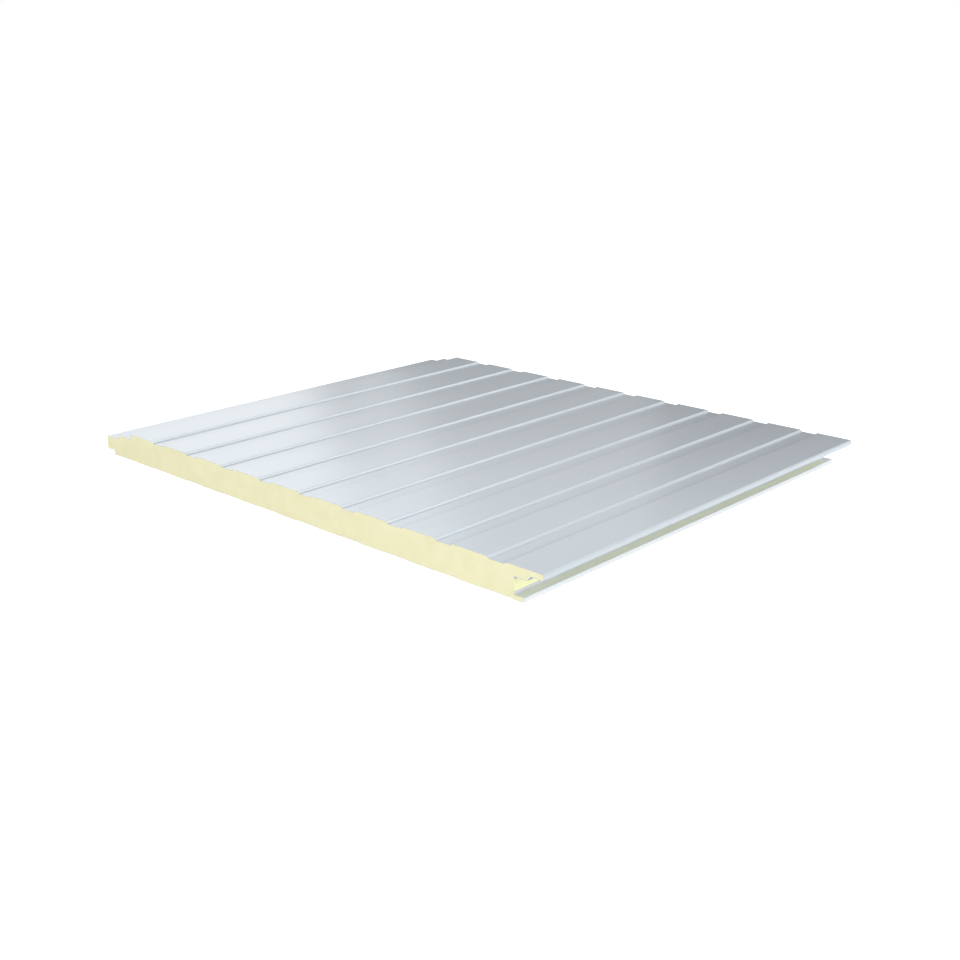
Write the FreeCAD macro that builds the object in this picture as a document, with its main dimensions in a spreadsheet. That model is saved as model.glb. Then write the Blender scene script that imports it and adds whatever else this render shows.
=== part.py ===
"""Insulated sandwich panel with profiled steel facings and a tongue-and-groove joint.

Two coated steel sheets are bonded to a rigid foam core. Every piece has one section for its
whole length, so each is one sketch of that section, padded along Y, with its bends rounded.

The sections lie in the XZ plane. X is measured from the outer face of the groove side's upper
lip, where the cover width ends, and is negative towards the tongue. Z is measured up from the
lowest ribs of the inner facing. The placement then brings the panel's middle to the origin.
"""
import FreeCAD
import Part
import Sketcher

import os
from collections import namedtuple
from types import SimpleNamespace

# Driving dimensions in millimetres: name, value, what it is.
SIZES = [
    ("panel_length", 845, "length along Y"),
    ("panel_depth", 50, "from the inner facing's ribs to the outer facing's flats"),
    ("band_pitch", 100, "from one valley to the next"),
    ("band_count", 10, "bands in the cover width"),
    ("valley_width", 33, "opening of a valley and of the joint between two panels"),
    ("valley_depth", 3, "depth of a valley"),
    ("flank_run", 2.5, "width of a valley's sloping side"),
    ("lining_pitch", 100, "from one recess of the inner facing to the next"),
    ("lining_offset", 56, "from the lip's outer face to the first recess"),
    ("lining_width", 50, "width of a recess"),
    ("lining_depth", 0.8, "depth of a recess"),
    ("lining_run", 2, "width of a recess's sloping side"),
    ("outer_sheet", 0.6, "thickness of the outer facing"),
    ("inner_sheet", 0.5, "thickness of the inner facing"),
    ("bend_radius", 1.5, "inside radius of every bend"),
    ("edge_return", 4, "length of sheet turned onto the foam at the tongue and groove"),
    ("upper_lip", 9, "thickness of the upper lip"),
    ("pocket_reach", 22, "from the lip's outer face to the step in its underside"),
    ("step_run", 6, "width of the sloping steps at the groove and on the tongue"),
    ("ceiling_drop", 16.5, "from the flats down to the ceiling of the groove"),
    ("groove_reach", 51, "from the lip's outer face to the inner wall of the groove"),
    ("lower_lip", 8, "thickness of the lower lip"),
    ("lower_setback", 33, "from the upper lip's outer face to the lower lip's"),
    ("screw_pocket", 15, "free width beside the tongue's step for the hidden fixings"),
    ("lip_clearance", 0.5, "between the upper lip and the neighbour's shelf"),
    ("tongue_clearance", 1, "between the tongue and the groove's ceiling"),
    ("floor_clearance", 0.5, "between the tongue and the lower lip"),
    ("tip_clearance", 3, "between the tongue's tip and the groove's inner wall"),
    ("bottom_gap", 6, "between two neighbours' inner facings"),
]

# A corner of a facing's section. x and z are the expressions of the corner on the visible side,
# dx and dz the way from it to the same corner on the foam's side. turn says how the sheet bends
# there: "over" round the foam, "away" from it, or "cut" at the sheet's own edge.
Corner = namedtuple("Corner", "x z dx dz turn")

doc = FreeCAD.newDocument("sandwich_panel")


def make_sheet():
    """The spreadsheet of driving dimensions, and the expression text that reads each of them."""
    sheet = doc.addObject("Spreadsheet::Sheet", "Sizes")
    for row, (name, value, note) in enumerate(SIZES, start=1):
        sheet.set(f"A{row}", name)
        sheet.set(f"B{row}", str(value))
        sheet.set(f"C{row}", note)
        sheet.setAlias(f"B{row}", name)
    doc.recompute()
    return sheet, SimpleNamespace(**{name: f"Sizes.{name}" for name, _, _ in SIZES})


sizes, size = make_sheet()

# Levels and places that both sides of the joint share.
top = size.panel_depth
cover_width = f"({size.band_pitch} * {size.band_count})"
lip_underside = f"({top} - {size.upper_lip})"
ceiling = f"({top} - {size.ceiling_drop})"
shelf = f"({lip_underside} - {size.lip_clearance})"
tongue_top = f"({ceiling} - {size.tongue_clearance})"
tongue_bottom = f"({size.lower_lip} + {size.floor_clearance})"
groove_wall = f"(-{size.groove_reach})"
tongue_tip = f"(-{cover_width} - {size.groove_reach} + {size.tip_clearance})"
overall_width = f"({cover_width} + {size.groove_reach} - {size.tip_clearance})"


def value_of(text):
    """The number that an expression has now."""
    result = sizes.evalExpression(text)
    return getattr(result, "Value", result)


def mitre(thickness, rise, run):
    """How far a slope's corner moves sideways through the sheet, for a slope of rise over run."""
    return f"({thickness} * tan(atan(({rise}) / {run}) / 2))"


def outer_line():
    """The outer facing's section, from the tongue's tip to the groove's inner wall."""
    sheet = size.outer_sheet
    wall = mitre(sheet, f"{top} - {shelf}", size.flank_run)
    flank = mitre(sheet, size.valley_depth, size.flank_run)
    tongue_step = mitre(sheet, f"{shelf} - {tongue_top}", size.step_run)
    groove_step = mitre(sheet, f"{lip_underside} - {ceiling}", size.step_run)
    step_end = f"(-{cover_width} - {size.pocket_reach} + {size.screw_pocket})"
    wall_top = f"(-{cover_width} + {size.valley_width})"
    valley_floor = f"({top} - {size.valley_depth})"

    line = [
        Corner(tongue_tip, f"{tongue_top} - {size.edge_return}", sheet, "0", "cut"),
        Corner(tongue_tip, tongue_top, sheet, f"-{sheet}", "over"),
        Corner(f"{step_end} - {size.step_run}", tongue_top, tongue_step, f"-{sheet}", "away"),
        Corner(step_end, shelf, tongue_step, f"-{sheet}", "over"),
        Corner(f"{wall_top} - {size.flank_run}", shelf, wall, f"-{sheet}", "away"),
        Corner(wall_top, top, wall, f"-{sheet}", "over"),
    ]
    for number in range(int(sizes.band_count) - 1, 0, -1):
        left = f"(-{size.band_pitch} * {number})"
        right = f"({left} + {size.valley_width})"
        line += [
            Corner(left, top, f"-{flank}", f"-{sheet}", "over"),
            Corner(f"{left} + {size.flank_run}", valley_floor, f"-{flank}", f"-{sheet}", "away"),
            Corner(f"{right} - {size.flank_run}", valley_floor, flank, f"-{sheet}", "away"),
            Corner(right, top, flank, f"-{sheet}", "over"),
        ]
    line += [
        Corner("0", top, f"-{sheet}", f"-{sheet}", "over"),
        Corner("0", lip_underside, f"-{sheet}", sheet, "over"),
        Corner(f"-{size.pocket_reach}", lip_underside, f"-{groove_step}", sheet, "away"),
        Corner(f"-{size.pocket_reach} - {size.step_run}", ceiling, f"-{groove_step}", sheet, "over"),
        Corner(groove_wall, ceiling, f"-{sheet}", sheet, "away"),
        Corner(groove_wall, f"{ceiling} - {size.edge_return}", f"-{sheet}", "0", "cut"),
    ]
    return line


def lining_count():
    """As many recesses as the inner facing has room for, with bends beside the last of them."""
    bends = 2 * (sizes.bend_radius + sizes.inner_sheet)
    step = sizes.band_pitch * sizes.band_count + sizes.lower_setback - sizes.bottom_gap
    last = step - bends - sizes.lining_width
    return int((last - sizes.lining_offset) // sizes.lining_pitch) + 1


def inner_line():
    """The inner facing's section, from the groove's inner wall to the tongue's tip."""
    sheet = size.inner_sheet
    flank = mitre(sheet, size.lining_depth, size.lining_run)
    lip_end = f"-{size.lower_setback}"
    step = f"(-{cover_width} - {size.lower_setback} + {size.bottom_gap})"

    line = [
        Corner(groove_wall, f"{size.lower_lip} + {size.edge_return}", f"-{sheet}", "0", "cut"),
        Corner(groove_wall, size.lower_lip, f"-{sheet}", f"-{sheet}", "away"),
        Corner(lip_end, size.lower_lip, f"-{sheet}", f"-{sheet}", "over"),
        Corner(lip_end, "0", f"-{sheet}", sheet, "over"),
    ]
    for number in range(lining_count()):
        right = f"(-{size.lining_offset} - {size.lining_pitch} * {number})"
        left = f"({right} - {size.lining_width})"
        line += [
            Corner(right, "0", flank, sheet, "over"),
            Corner(f"{right} - {size.lining_run}", size.lining_depth, flank, sheet, "away"),
            Corner(f"{left} + {size.lining_run}", size.lining_depth, f"-{flank}", sheet, "away"),
            Corner(left, "0", f"-{flank}", sheet, "over"),
        ]
    line += [
        Corner(step, "0", sheet, sheet, "over"),
        Corner(step, tongue_bottom, sheet, sheet, "away"),
        Corner(tongue_tip, tongue_bottom, sheet, sheet, "over"),
        Corner(tongue_tip, f"{tongue_bottom} + {size.edge_return}", sheet, "0", "cut"),
    ]
    return line


def bend(corner, turn_inside, thickness):
    """The radius at a corner: plain where turn_inside is its turn, else round the sheet too."""
    if corner.turn == "cut":
        return None
    if corner.turn == turn_inside:
        return size.bend_radius
    return f"({size.bend_radius} + {thickness})"


def visible_side(line, thickness):
    """A facing's visible side as (x, z, radius)."""
    return [(c.x, c.z, bend(c, "away", thickness)) for c in line]


def foam_side(line, thickness):
    """The side of a facing that is bonded to the foam, as (x, z, radius)."""
    return [(f"{c.x} + {c.dx}", f"{c.z} + {c.dz}", bend(c, "over", thickness)) for c in line]


def facing_section(line, thickness):
    """The closed section of a facing: out along its visible side and back along the foam."""
    return visible_side(line, thickness) + foam_side(line, thickness)[::-1]


def core_section(upper, lower):
    """The closed section of the foam, which is bare and flush with the sheets at both edges."""
    bare_ends = [(c.x, c.z, None) for c in (upper[-1], lower[0], lower[-1], upper[0])]
    return (foam_side(upper, size.outer_sheet) + bare_ends[:2]
            + foam_side(lower, size.inner_sheet) + bare_ends[2:])


def draw_section(body, corners):
    """A closed polygon on the body's XZ plane, each corner held by its own two expressions."""
    sketch = body.newObject("Sketcher::SketchObject", f"{body.Name}_section")
    plane = [item for item in body.Origin.OriginFeatures if item.Role == "XZ_Plane"][0]
    sketch.AttachmentSupport = [(plane, "")]
    sketch.MapMode = "FlatFace"

    # Each corner starts out where its expressions put it, so the solver has nothing to search for.
    count = len(corners)
    starts = [FreeCAD.Vector(value_of(x), value_of(z), 0) for x, z, _ in corners]
    sketch.addGeometry([Part.LineSegment(starts[n - 1], starts[n]) for n in range(count)], False)
    constraints, bindings = [], []
    for number, (x, z, _) in enumerate(corners):
        after = (number + 1) % count
        constraints.append(Sketcher.Constraint("Coincident", number, 2, after, 1))
        start = starts[number]
        for kind, text, value in (("DistanceX", x, start.x), ("DistanceY", z, start.y)):
            bindings.append((len(constraints), text))
            constraints.append(Sketcher.Constraint(kind, -1, 1, number, 2, value))
    sketch.addConstraint(constraints)
    for place, text in bindings:
        sketch.setExpression(f"Constraints[{place}]", text)
    doc.recompute()
    return sketch


def edges_along(shape, spots):
    """Names of the edges that run the whole length at the given places in the section."""
    found = []
    for number, edge in enumerate(shape.Edges, start=1):
        first, last = edge.Vertexes[0].Point, edge.Vertexes[-1].Point
        if abs(first.y - last.y) < 0.99 * shape.BoundBox.YLength:
            continue
        if any(abs(first.x - x) < 1e-4 and abs(first.z - z) < 1e-4 for x, z in spots):
            found.append(f"Edge{number}")
    return found


def make_piece(label, corners):
    """A body of one section: sketch, pad along Y, and a fillet for each radius of its bends."""
    body = doc.addObject("PartDesign::Body", label)
    body.Label = label
    sketch = draw_section(body, corners)
    pad = body.newObject("PartDesign::Pad", f"{label}_pad")
    pad.Profile = sketch
    pad.SideType = "Symmetric"
    pad.setExpression("Length", size.panel_length)
    doc.recompute()

    spots = [(line.EndPoint.x, line.EndPoint.y) for line in sketch.Geometry]
    last = pad
    for radius in sorted({corner[2] for corner in corners if corner[2]}):
        at = [spot for spot, corner in zip(spots, corners) if corner[2] == radius]
        fillet = body.newObject("PartDesign::Fillet", f"{label}_bends")
        fillet.Base = (last, edges_along(last.Shape, at))
        fillet.setExpression("Radius", radius)
        doc.recompute()
        last = fillet
    body.Tip = last
    body.setExpression(".Placement.Base.x", f"{overall_width} / 2")
    return body


def check(pieces):
    """Stop if anything in the document failed or a piece is not one sound solid."""
    for item in doc.Objects:
        if {"Invalid", "Error"} & set(item.State):
            raise RuntimeError(f"{item.Name} failed: {item.State}")
    for piece in pieces:
        shape = piece.Shape
        if shape.isNull() or not shape.isValid() or len(shape.Solids) != 1:
            raise RuntimeError(f"{piece.Label} is not one valid solid")


outer, inner = outer_line(), inner_line()
pieces = [
    make_piece("outer_facing", facing_section(outer, size.outer_sheet)),
    make_piece("foam_core", core_section(outer, inner)),
    make_piece("inner_facing", facing_section(inner, size.inner_sheet)),
]
doc.recompute()
check(pieces)

os.makedirs("parts", exist_ok=True)
for piece in pieces:
    piece.Shape.exportStep(f"parts/{piece.Label}.step")
    box = piece.Shape.BoundBox
    print(f"{piece.Label}: {piece.Shape.Volume / 1000:.1f} cm3, "
          f"{box.XLength:.1f} x {box.YLength:.1f} x {box.ZLength:.1f} mm, "
          f"{len(piece.Shape.Faces)} faces")
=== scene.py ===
"""The looks of an insulated sandwich panel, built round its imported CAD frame.

Two roll-formed, coil-coated steel sheets on a core of pale yellow rigid foam. The pieces are
modelled again from the same section as the CAD nodes, with fine bends, sawn foam ends and bare
cut edges of steel. Lengths are in metres, in the frame's own axes: X across the panel from the
tongue to the groove, Y along its ribs, Z up from the lowest ribs of the inner facing.
"""
import math
import random

import bpy
from mathutils import Matrix, Vector, geometry, noise


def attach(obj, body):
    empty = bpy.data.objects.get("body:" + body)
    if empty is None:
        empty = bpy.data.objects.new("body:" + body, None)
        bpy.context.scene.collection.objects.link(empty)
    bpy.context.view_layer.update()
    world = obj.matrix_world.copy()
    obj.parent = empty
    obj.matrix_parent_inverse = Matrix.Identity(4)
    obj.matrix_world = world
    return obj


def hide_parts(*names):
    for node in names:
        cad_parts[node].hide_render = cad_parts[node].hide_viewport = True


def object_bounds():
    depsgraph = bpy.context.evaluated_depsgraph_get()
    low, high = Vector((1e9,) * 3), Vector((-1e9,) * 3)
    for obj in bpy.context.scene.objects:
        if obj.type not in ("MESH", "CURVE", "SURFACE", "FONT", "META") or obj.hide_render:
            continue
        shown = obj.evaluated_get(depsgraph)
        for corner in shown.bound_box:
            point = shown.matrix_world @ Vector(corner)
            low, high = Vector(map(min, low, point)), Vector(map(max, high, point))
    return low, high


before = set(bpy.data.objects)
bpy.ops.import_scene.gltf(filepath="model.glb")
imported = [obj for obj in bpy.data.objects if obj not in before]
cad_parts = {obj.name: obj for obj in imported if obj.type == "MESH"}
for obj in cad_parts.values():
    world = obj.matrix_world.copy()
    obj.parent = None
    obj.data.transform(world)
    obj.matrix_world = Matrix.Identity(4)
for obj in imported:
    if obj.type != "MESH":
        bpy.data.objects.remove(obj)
cad_low, cad_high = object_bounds()
MM = 0.001

# The section, as the real panel is rolled. Places across it are counted from the outer face of
# the upper lip, where the cover width ends, and are negative towards the tongue.
BAND_PITCH = 100 * MM
BAND_COUNT = 10
COVER_WIDTH = BAND_PITCH * BAND_COUNT
VALLEY_WIDTH = 33 * MM
VALLEY_DEPTH = 3 * MM
FLANK_RUN = 2.5 * MM
LINING_OFFSET = 56 * MM
LINING_WIDTH = 50 * MM
LINING_DEPTH = 0.8 * MM
LINING_RUN = 2 * MM
OUTER_SHEET = 0.6 * MM
INNER_SHEET = 0.5 * MM
BEND_RADIUS = 1.5 * MM
EDGE_RETURN = 4 * MM
UPPER_LIP = 9 * MM
POCKET_REACH = 22 * MM
STEP_RUN = 6 * MM
CEILING_DROP = 16.5 * MM
GROOVE_REACH = 51 * MM
LOWER_LIP = 8 * MM
LOWER_SETBACK = 33 * MM
SCREW_POCKET = 15 * MM
LIP_CLEARANCE = 0.5 * MM
TONGUE_CLEARANCE = 1 * MM
FLOOR_CLEARANCE = 0.5 * MM
TIP_CLEARANCE = 3 * MM
BOTTOM_GAP = 6 * MM

# The overall box comes from the frame.
LIP_X = cad_high[0]
FRONT_Y, BACK_Y = cad_low[1], cad_high[1]
TOP_Z = cad_high[2]
TONGUE_TIP = LIP_X - COVER_WIDTH - GROOVE_REACH + TIP_CLEARANCE
GROOVE_WALL = LIP_X - GROOVE_REACH
TONGUE_TOP = TOP_Z - CEILING_DROP - TONGUE_CLEARANCE
TONGUE_BOTTOM = LOWER_LIP + FLOOR_CLEARANCE

BEND_STEPS = 5
ACROSS_STEP = 12 * MM
ALONG_STEPS = 12

# The foam's own surface: sawn a little back from the sheets' ends, with a grain and burst cells.
FOAM_STEP = 2 * MM
FOAM_STATIONS = 70
FOAM_RECESS = 0.15 * MM
BARE_STEPS = 6
BARE_DIP = 0.5 * MM
GRAIN_SIZE = 5 * MM
GRAIN_DEPTH = 0.12 * MM
BURST_SHARE = 0.012
BURST_DEPTH = (0.4 * MM, 1.1 * MM)
BURST_SEED = 11
SHARP_ANGLE = 50


def outer_line():
    """Corners of the outer facing's visible side, from the tongue's tip to the groove's wall."""
    shelf = TOP_Z - UPPER_LIP - LIP_CLEARANCE
    step = LIP_X - COVER_WIDTH - POCKET_REACH + SCREW_POCKET
    wall = LIP_X - COVER_WIDTH + VALLEY_WIDTH
    ceiling = TOP_Z - CEILING_DROP
    line = [
        (TONGUE_TIP, TONGUE_TOP - EDGE_RETURN),
        (TONGUE_TIP, TONGUE_TOP),
        (step - STEP_RUN, TONGUE_TOP),
        (step, shelf),
        (wall - FLANK_RUN, shelf),
        (wall, TOP_Z),
    ]
    for number in range(BAND_COUNT - 1, 0, -1):
        left = LIP_X - BAND_PITCH * number
        right = left + VALLEY_WIDTH
        line += [
            (left, TOP_Z),
            (left + FLANK_RUN, TOP_Z - VALLEY_DEPTH),
            (right - FLANK_RUN, TOP_Z - VALLEY_DEPTH),
            (right, TOP_Z),
        ]
    return line + [
        (LIP_X, TOP_Z),
        (LIP_X, TOP_Z - UPPER_LIP),
        (LIP_X - POCKET_REACH, TOP_Z - UPPER_LIP),
        (LIP_X - POCKET_REACH - STEP_RUN, ceiling),
        (GROOVE_WALL, ceiling),
        (GROOVE_WALL, ceiling - EDGE_RETURN),
    ]


def inner_line():
    """Corners of the inner facing's visible side, from the groove's wall to the tongue's tip."""
    lip_end = LIP_X - LOWER_SETBACK
    step = LIP_X - COVER_WIDTH - LOWER_SETBACK + BOTTOM_GAP
    line = [
        (GROOVE_WALL, LOWER_LIP + EDGE_RETURN),
        (GROOVE_WALL, LOWER_LIP),
        (lip_end, LOWER_LIP),
        (lip_end, 0),
    ]
    for number in range(BAND_COUNT):
        right = LIP_X - LINING_OFFSET - BAND_PITCH * number
        left = right - LINING_WIDTH
        line += [
            (right, 0),
            (right - LINING_RUN, LINING_DEPTH),
            (left + LINING_RUN, LINING_DEPTH),
            (left, 0),
        ]
    return line + [
        (step, 0),
        (step, TONGUE_BOTTOM),
        (TONGUE_TIP, TONGUE_BOTTOM),
        (TONGUE_TIP, TONGUE_BOTTOM + EDGE_RETURN),
    ]


def foam_side_normal(start, end):
    """The unit normal towards the foam, which lies to the right of the line."""
    way = (Vector(end) - Vector(start)).normalized()
    return Vector((way.y, -way.x))


def rolled(line, thickness):
    """The sheet's section with round bends: rows of (visible point, foam-side point, normal)."""
    points = [Vector(corner) for corner in line]
    normals = [foam_side_normal(a, b) for a, b in zip(points, points[1:])]
    rows = [(points[0], points[0] + normals[0] * thickness, normals[0])]

    def straight_to(visible, normal):
        """Add evenly spaced rows from the last one up to this point."""
        last = rows[-1][0]
        parts = max(1, math.ceil((visible - last).length / ACROSS_STEP))
        for part in range(1, parts + 1):
            spot = last.lerp(visible, part / parts)
            rows.append((spot, spot + normal * thickness, normal))

    for corner, before, after in zip(points[1:-1], normals, normals[1:]):
        turn = before.angle_signed(after)
        round_foam = turn > 0
        radius = BEND_RADIUS + thickness if round_foam else -BEND_RADIUS
        centre = corner + (before + after) / (1 + before.dot(after)) * radius
        straight_to(centre - before * radius, before)
        for part in range(1, BEND_STEPS + 1):
            normal = Matrix.Rotation(-turn * part / BEND_STEPS, 2) @ before
            visible = centre - normal * radius
            rows.append((visible, visible + normal * thickness, normal))
    straight_to(points[-1], normals[-1])
    return rows


OUTER_ROWS = rolled(outer_line(), OUTER_SHEET)
INNER_ROWS = rolled(inner_line(), INNER_SHEET)


def make_object(name, vertices, faces, materials, face_materials):
    """A mesh object that rides on the root body and stands for the CAD node it is named after."""
    mesh = bpy.data.meshes.new(name)
    mesh.from_pydata(vertices, [], faces)
    for material in materials:
        mesh.materials.append(material)
    mesh.polygons.foreach_set("material_index", face_materials)
    mesh.update()
    piece = bpy.data.objects.new(name + "_dressed", mesh)
    bpy.context.scene.collection.objects.link(piece)
    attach(piece, "root")
    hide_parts(name)
    return piece


def make_facing(name, rows, materials):
    """A sheet: its section at stations along Y, closed by its slit edges and its cut ends."""
    vertices, normals = [], []
    for station in range(ALONG_STEPS + 1):
        y = FRONT_Y + (BACK_Y - FRONT_Y) * station / ALONG_STEPS
        for visible, bonded, normal in rows:
            vertices += [(visible.x, y, visible.y), (bonded.x, y, bonded.y)]
            normals += [(-normal.x, 0, -normal.y), (normal.x, 0, normal.y)]
    count = len(rows)
    visible, bonded = 0, 1

    def at(station, row, side):
        return 2 * (station * count + row) + side

    painted_faces, bare_faces = [], []
    for station in range(ALONG_STEPS):
        for row in range(count - 1):
            painted_faces.append((at(station, row, visible), at(station, row + 1, visible),
                                  at(station + 1, row + 1, visible), at(station + 1, row, visible)))
            painted_faces.append((at(station, row, bonded), at(station + 1, row, bonded),
                                  at(station + 1, row + 1, bonded), at(station, row + 1, bonded)))
        for row, order in ((0, -1), (count - 1, 1)):
            edge = (at(station, row, visible), at(station, row, bonded),
                    at(station + 1, row, bonded), at(station + 1, row, visible))
            bare_faces.append(edge[::order])
    for station, order in ((0, -1), (ALONG_STEPS, 1)):
        for row in range(count - 1):
            end = (at(station, row, visible), at(station, row + 1, visible),
                   at(station, row + 1, bonded), at(station, row, bonded))
            bare_faces.append(end[::order])

    kinds = [0] * len(painted_faces) + [1] * len(bare_faces)
    piece = make_object(name, vertices, painted_faces + bare_faces, materials, kinds)
    mesh = piece.data
    mesh.shade_smooth()
    corners = []
    for face in mesh.polygons:
        flat = face.material_index == 1
        corners += [face.normal if flat else normals[vertex] for vertex in face.vertices]
    mesh.normals_split_custom_set(corners)
    return piece


def foam_outline():
    """The core's section, and how far each of its points may sink into the foam.

    It follows the foam sides of both sheets, and runs flush with their edges, bare, between them.
    """
    outline, sinks = [], []
    for rows, after in ((OUTER_ROWS, INNER_ROWS), (INNER_ROWS, OUTER_ROWS)):
        covered = [rows[0][0], *(bonded for _, bonded, _ in rows)]
        outline += covered
        sinks += [Vector((0, 0))] * len(covered)
        start, end = rows[-1][0], after[0][0]
        inward = foam_side_normal(start, end)
        for part in range(BARE_STEPS):
            outline.append(start.lerp(end, part / BARE_STEPS))
            sinks.append(inward * math.sin(math.pi * part / BARE_STEPS) * BARE_DIP)
    return outline, sinks


def heights_inside(outline, x):
    """Pairs of heights between which a plumb line at x runs through the foam."""
    crossings = []
    for a, b in zip(outline, outline[1:] + outline[:1]):
        if (a.x < x) != (b.x < x):
            crossings.append(a.y + (b.y - a.y) * (x - a.x) / (b.x - a.x))
    crossings.sort()
    return zip(crossings[::2], crossings[1::2])


def fine_section(outline):
    """The section filled with small triangles, on its own corners and on staggered columns."""
    points = list(outline)
    for column in range(1, math.ceil((LIP_X - TONGUE_TIP) / FOAM_STEP)):
        x = TONGUE_TIP + column * FOAM_STEP
        for low, high in heights_inside(outline, x):
            gaps = max(2, round((high - low) / FOAM_STEP))
            stagger = 0.5 * (column % 2)
            for rung in range(1, gaps):
                points.append(Vector((x, low + (high - low) * (rung - stagger) / gaps)))
    loop = [(number, (number + 1) % len(outline)) for number in range(len(outline))]
    filled = geometry.delaunay_2d_cdt(points, loop, [], 1, 1e-7)
    sources = [origins[0] for origins in filled[3]]
    return points, [tuple(sources[corner] for corner in face) for face in filled[2]]


def make_foam(name, materials):
    """The foam core: two sawn ends, and the skin that the sheets leave bare at both long edges."""
    dice = random.Random(BURST_SEED)
    outline, sinks = foam_outline()
    points, triangles = fine_section(outline)
    rim = len(outline)
    vertices, faces = [], []
    for y, inward in ((FRONT_Y + FOAM_RECESS, 1), (BACK_Y - FOAM_RECESS, -1)):
        first = len(vertices)
        for number, point in enumerate(points):
            depth = 0
            if number >= rim:
                place = Vector((point.x, y, point.y))
                depth = GRAIN_DEPTH * (1 + noise.noise(place / GRAIN_SIZE))
                if dice.random() < BURST_SHARE:
                    depth += dice.uniform(*BURST_DEPTH)
            vertices.append((point.x, y + inward * depth, point.y))
        faces += [tuple(first + corner for corner in face[::inward]) for face in triangles]
    sawn = len(faces)

    rings = [range(rim)]
    for station in range(1, FOAM_STATIONS):
        y = FRONT_Y + (BACK_Y - FRONT_Y) * station / FOAM_STATIONS
        rings.append(range(len(vertices), len(vertices) + rim))
        for point, sink in zip(outline, sinks):
            place = Vector((point.x, y, point.y))
            sunk = point + sink * (0.5 + 0.5 * noise.noise(place / (4 * GRAIN_SIZE)))
            vertices.append((sunk.x, y, sunk.y))
    rings.append(range(len(points), len(points) + rim))
    for near, far in zip(rings, rings[1:]):
        for here in range(rim):
            there = (here + 1) % rim
            faces.append((near[here], near[there], far[there], far[here]))

    kinds = [0] * sawn + [1] * (len(faces) - sawn)
    piece = make_object(name, vertices, faces, materials, kinds)
    piece.data.shade_smooth()
    piece.data.set_sharp_from_angle(angle=math.radians(SHARP_ANGLE))
    return piece


# Materials. The scales of their textures are counts in a metre. -------------------------------


class Nodes:
    """A short way to add and join the nodes of one material."""

    def __init__(self, name):
        self.material = bpy.data.materials.new(name)
        self.material.use_nodes = True
        self.tree = self.material.node_tree
        self.shader = self.tree.nodes["Principled BSDF"]

    def add(self, kind, inputs=None, **settings):
        node = self.tree.nodes.new("ShaderNode" + kind)
        for key, value in settings.items():
            setattr(node, key, value)
        for key, value in (inputs or {}).items():
            if isinstance(value, bpy.types.NodeSocket):
                self.tree.links.new(value, node.inputs[key])
            else:
                node.inputs[key].default_value = value
        return node

    def place(self, stretch=(1, 1, 1)):
        """Object coordinates, which are metres, stretched along the axes."""
        coordinates = self.add("TexCoord").outputs["Object"]
        return self.add("Mapping", {"Vector": coordinates, "Scale": stretch}).outputs["Vector"]

    def noise(self, scale, detail=2.0, stretch=(1, 1, 1)):
        inputs = {"Vector": self.place(stretch), "Scale": scale, "Detail": detail}
        return self.add("TexNoise", inputs).outputs["Fac"]

    def spread(self, value, low, high, start=0.3, end=0.7):
        """A factor from start to end turned into a number from low to high."""
        inputs = {"Value": value, "From Min": start, "From Max": end, "To Min": low, "To Max": high}
        return self.add("MapRange", inputs).outputs["Result"]

    def bump(self, height, distance, strength=1.0, below=None):
        inputs = {"Height": height, "Distance": distance, "Strength": strength}
        if below is not None:
            inputs["Normal"] = below
        return self.add("Bump", inputs).outputs["Normal"]

    def tint(self, factor, dark, light):
        """A colour between two, by a factor from 0 to 1."""
        node = self.add("Mix", data_type="RGBA")
        self.tree.links.new(factor, node.inputs[0])
        node.inputs[6].default_value = (*dark, 1)
        node.inputs[7].default_value = (*light, 1)
        return node.outputs[2]

    def wire(self, **sockets):
        """Set or join the shader's own sockets, named with _ for a space."""
        for key, value in sockets.items():
            socket = self.shader.inputs[key.replace("_", " ")]
            if isinstance(value, bpy.types.NodeSocket):
                self.tree.links.new(value, socket)
            else:
                socket.default_value = value
        return self.material


def coated_steel(name, dark, light, roughness):
    """Coil-coated steel: satin paint with a fine orange peel and the faint waves of rolling."""
    nodes = Nodes(name)
    cloud = nodes.spread(nodes.noise(6, 3, (1, 0.35, 1)), 0, 1)
    peel = nodes.bump(nodes.noise(700, 1), 0.004 * MM, 0.2)
    wave = nodes.bump(nodes.noise(4, 0, (1, 0.4, 1)), 0.12 * MM, 0.3, peel)
    gloss = nodes.spread(nodes.noise(12, 2, (1, 0.2, 1)), roughness - 0.015, roughness + 0.015)
    return nodes.wire(Base_Color=nodes.tint(cloud, dark, light), Roughness=gloss,
                      Metallic=0.35, Normal=wave)


def bare_steel():
    """The cut edge of a galvanised sheet, drawn a little by the saw."""
    nodes = Nodes("bare_steel")
    cuts = nodes.noise(1500, 3, (1, 1, 0.2))
    tint = nodes.tint(nodes.spread(cuts, 0, 1), (0.42, 0.43, 0.44), (0.62, 0.63, 0.64))
    return nodes.wire(Base_Color=tint, Roughness=0.38, Metallic=0.9,
                      Normal=nodes.bump(cuts, 0.03 * MM, 0.5))


def foam_material(name, dark, light, cell, depth):
    """Rigid foam: fine closed cells in the bump, and a slow drift of its pale yellow."""
    nodes = Nodes(name)
    drift = nodes.spread(nodes.noise(35, 4), 0, 1)
    cells = nodes.add("TexVoronoi", {"Vector": nodes.place(), "Scale": 1 / cell}).outputs["Distance"]
    grain = nodes.bump(nodes.noise(0.4 / cell, 3), depth, 0.5)
    pits = nodes.bump(cells, depth, 0.6, grain)
    return nodes.wire(Base_Color=nodes.tint(drift, dark, light), Roughness=0.85,
                      Specular_IOR_Level=0.25, Normal=pits)


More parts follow.
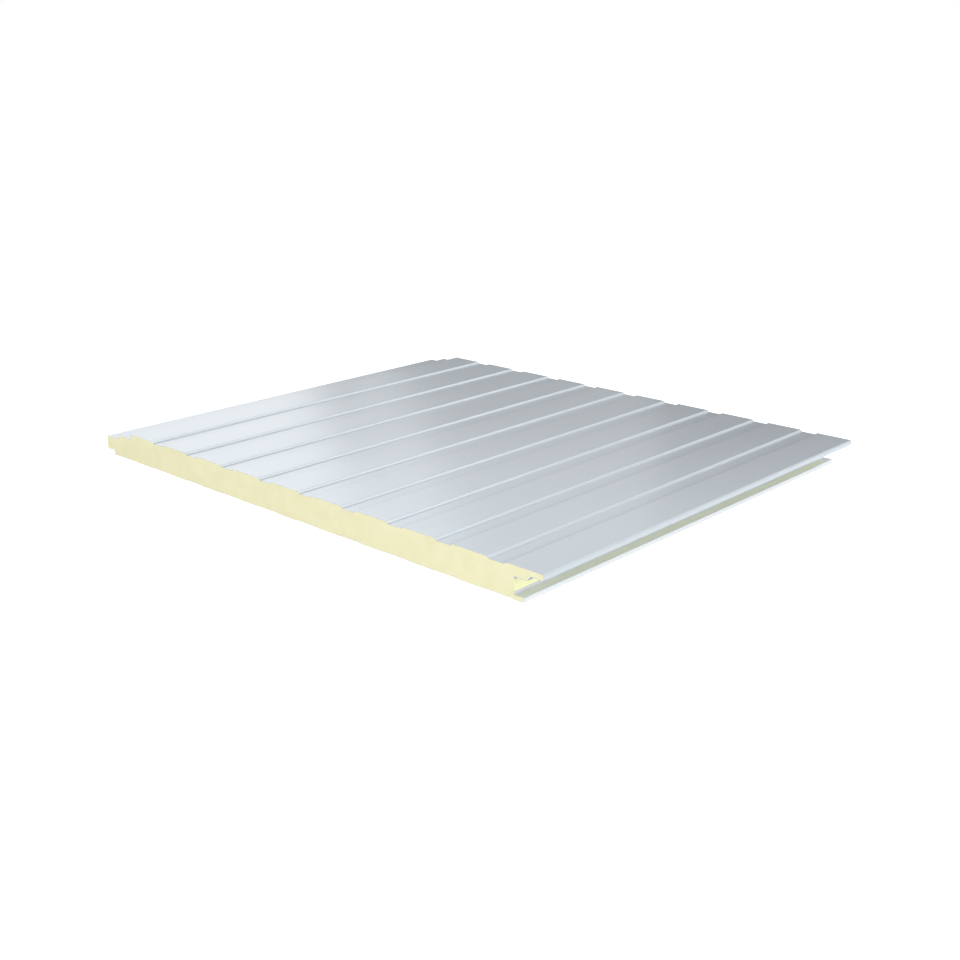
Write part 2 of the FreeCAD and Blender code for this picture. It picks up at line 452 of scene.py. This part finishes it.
outer_paint = coated_steel("outer_coating", (0.475, 0.525, 0.565), (0.49, 0.54, 0.58), 0.2)
inner_paint = coated_steel("inner_coating", (0.64, 0.67, 0.69), (0.67, 0.70, 0.72), 0.25)
steel_edge = bare_steel()
cut_foam = foam_material("cut_foam", (0.86, 0.835, 0.545), (0.90, 0.875, 0.60), 0.9 * MM, 0.15 * MM)
# The bare foam walls of the groove and the tongue are a darker, greener yellow than the sawn ends.
# That colour is painted shade and painted yellow bounce light of the deep groove.
skin_foam_painted_shade = foam_material("skin_foam_painted_shade", (0.68, 0.69, 0.40), (0.74, 0.75, 0.46), 3 * MM, 0.08 * MM)

make_facing("outer_facing", OUTER_ROWS, [outer_paint, steel_edge])
make_facing("inner_facing", INNER_ROWS, [inner_paint, steel_edge])
make_foam("foam_core", [cut_foam, skin_foam_painted_shade])

# Stage ---------------------------------------------------------------------------------------

FLOOR_SIZE = 40
FLOOR_DROP = 0.2 * MM
FLOOR_COLOUR = 0.65
FLOOR_GLOW = 0.8
SOFT_LIGHT = 0.4
# What metal reflects is white, but for a dark wall low over the horizon: degrees and levels.
WALL = ((0, 0.5), (4, 0.5), (8, 0.03), (13, 0.03), (23, 1.0))
# The lens in mm, the camera's place in mm from the panel's near upper corner, and its angles:
# how far it looks down and how far it turns to the left, in degrees.
LENS, SENSOR = 48.12, 36
CAMERA_WAY = (994.8, -1199.0, 646.0)
CAMERA_FALL, CAMERA_TURN = 18.31, 42.75


def seen_directly(tree):
    """1 for camera, glossy and transmission rays, else 0."""
    path = tree.nodes.new("ShaderNodeLightPath")
    total = path.outputs["Is Camera Ray"]
    for kind in ("Is Glossy Ray", "Is Transmission Ray"):
        both = tree.nodes.new("ShaderNodeMath")
        both.operation = "MAXIMUM"
        tree.links.new(total, both.inputs[0])
        tree.links.new(path.outputs[kind], both.inputs[1])
        total = both.outputs[0]
    return total


def make_floor():
    """A white floor that goes over into the white background and keeps the panel's shadow."""
    mesh = bpy.data.meshes.new("floor")
    half = FLOOR_SIZE / 2
    mesh.from_pydata([(-half, -half, 0), (half, -half, 0), (half, half, 0), (-half, half, 0)],
                     [], [(0, 1, 2, 3)])
    floor = bpy.data.objects.new("floor", mesh)
    floor.location.z = -FLOOR_DROP
    bpy.context.scene.collection.objects.link(floor)
    material = bpy.data.materials.new("floor_white")
    material.use_nodes = True
    tree = material.node_tree
    tree.nodes.clear()
    output = tree.nodes.new("ShaderNodeOutputMaterial")
    both = tree.nodes.new("ShaderNodeAddShader")
    matt = tree.nodes.new("ShaderNodeBsdfDiffuse")
    matt.inputs["Color"].default_value = (FLOOR_COLOUR, FLOOR_COLOUR, FLOOR_COLOUR, 1)
    glow = tree.nodes.new("ShaderNodeEmission")
    scale = tree.nodes.new("ShaderNodeMath")
    scale.operation = "MULTIPLY"
    scale.inputs[1].default_value = FLOOR_GLOW
    tree.links.new(seen_directly(tree), scale.inputs[0])
    tree.links.new(scale.outputs[0], glow.inputs["Strength"])
    tree.links.new(matt.outputs[0], both.inputs[0])
    tree.links.new(glow.outputs[0], both.inputs[1])
    tree.links.new(both.outputs[0], output.inputs["Surface"])
    mesh.materials.append(material)


def make_world():
    """White to the camera, white over a dark wall in reflections, and a soft light elsewhere."""
    world = bpy.data.worlds.new("studio")
    bpy.context.scene.world = world
    world.use_nodes = True
    tree = world.node_tree
    tree.nodes.clear()
    output = tree.nodes.new("ShaderNodeOutputWorld")
    mix = tree.nodes.new("ShaderNodeMixShader")
    soft = tree.nodes.new("ShaderNodeBackground")
    soft.inputs["Color"].default_value = (1, 1, 1, 1)
    soft.inputs["Strength"].default_value = SOFT_LIGHT
    white = tree.nodes.new("ShaderNodeBackground")
    white.inputs["Color"].default_value = (1, 1, 1, 1)
    tree.links.new(seen_directly(tree), mix.inputs[0])
    tree.links.new(soft.outputs[0], mix.inputs[1])
    tree.links.new(white.outputs[0], mix.inputs[2])
    path = tree.nodes.new("ShaderNodeLightPath")
    way = tree.nodes.new("ShaderNodeTexCoord")
    split = tree.nodes.new("ShaderNodeSeparateXYZ")
    wall = tree.nodes.new("ShaderNodeValToRGB")
    stops = wall.color_ramp.elements
    while len(stops) < len(WALL):
        stops.new(1.0)
    for stop, (height, level) in zip(stops, WALL):
        stop.position = math.sin(math.radians(height))
        stop.color = (level, level, level, 1)
    either = tree.nodes.new("ShaderNodeMath")
    either.operation = "MAXIMUM"
    tree.links.new(way.outputs["Generated"], split.inputs[0])
    tree.links.new(split.outputs["Z"], wall.inputs[0])
    tree.links.new(wall.outputs["Color"], either.inputs[0])
    tree.links.new(path.outputs["Is Camera Ray"], either.inputs[1])
    tree.links.new(either.outputs[0], white.inputs["Strength"])
    tree.links.new(mix.outputs[0], output.inputs["Surface"])


def add_lamp(name, azimuth, elevation, distance, size, power, lean=0, mirrored=True):
    """A soft box aimed at the panel. Azimuth is counted from +Y, positive towards +X.

    It leans clockwise as the panel sees it. A box that isn't mirrored lights the edges and stays
    out of the reflections on the coating.
    """
    lamp = bpy.data.lights.new(name, "AREA")
    lamp.shape = "RECTANGLE"
    lamp.size, lamp.size_y = size
    lamp.energy = power
    a, e = math.radians(azimuth), math.radians(elevation)
    way = Vector((math.sin(a) * math.cos(e), math.cos(a) * math.cos(e), math.sin(e)))
    holder = bpy.data.objects.new(name, lamp)
    holder.visible_glossy = mirrored
    holder.location = way * distance
    facing = way.to_track_quat("Z", "Y").to_matrix() @ Matrix.Rotation(math.radians(lean), 3, "Z")
    holder.rotation_euler = facing.to_euler()
    bpy.context.scene.collection.objects.link(holder)


def make_camera():
    """The view over the panel's near corner, along its ribs and down on it."""
    corner = Vector((LIP_X, FRONT_Y, TOP_Z))
    camera = bpy.data.objects.new("camera", bpy.data.cameras.new("camera"))
    camera.data.lens = LENS
    camera.data.sensor_width = SENSOR
    camera.location = corner + Vector(CAMERA_WAY) * MM
    camera.rotation_euler = (math.radians(90 - CAMERA_FALL), 0, math.radians(CAMERA_TURN))
    bpy.context.scene.collection.objects.link(camera)
    bpy.context.scene.camera = camera


make_floor()
make_world()
make_camera()
add_lamp("left_box", -72, 20, 8, (5.8, 4.3), 66, lean=13)
add_lamp("left_fill", -71, 20, 8, (7.0, 4.3), 48, lean=13)
add_lamp("front_box", 175, 12, 6, (5, 3), 152, mirrored=False)
add_lamp("near_box", 125, 15, 6, (3, 2), 28, mirrored=False)
add_lamp("right_box", 92, 12, 6, (7, 2), 300, mirrored=False)
add_lamp("back_box", -17, 33, 7, (7.8, 3.4), 35)
add_lamp("low_box", -41, 17, 8, (2.4, 1.8), 3.6)
add_lamp("high_box", 41, 49, 6, (4, 3), 34)
add_lamp("top_box", 0, 82, 6, (4, 4), 26)
bpy.context.scene.view_settings.view_transform = "Standard"
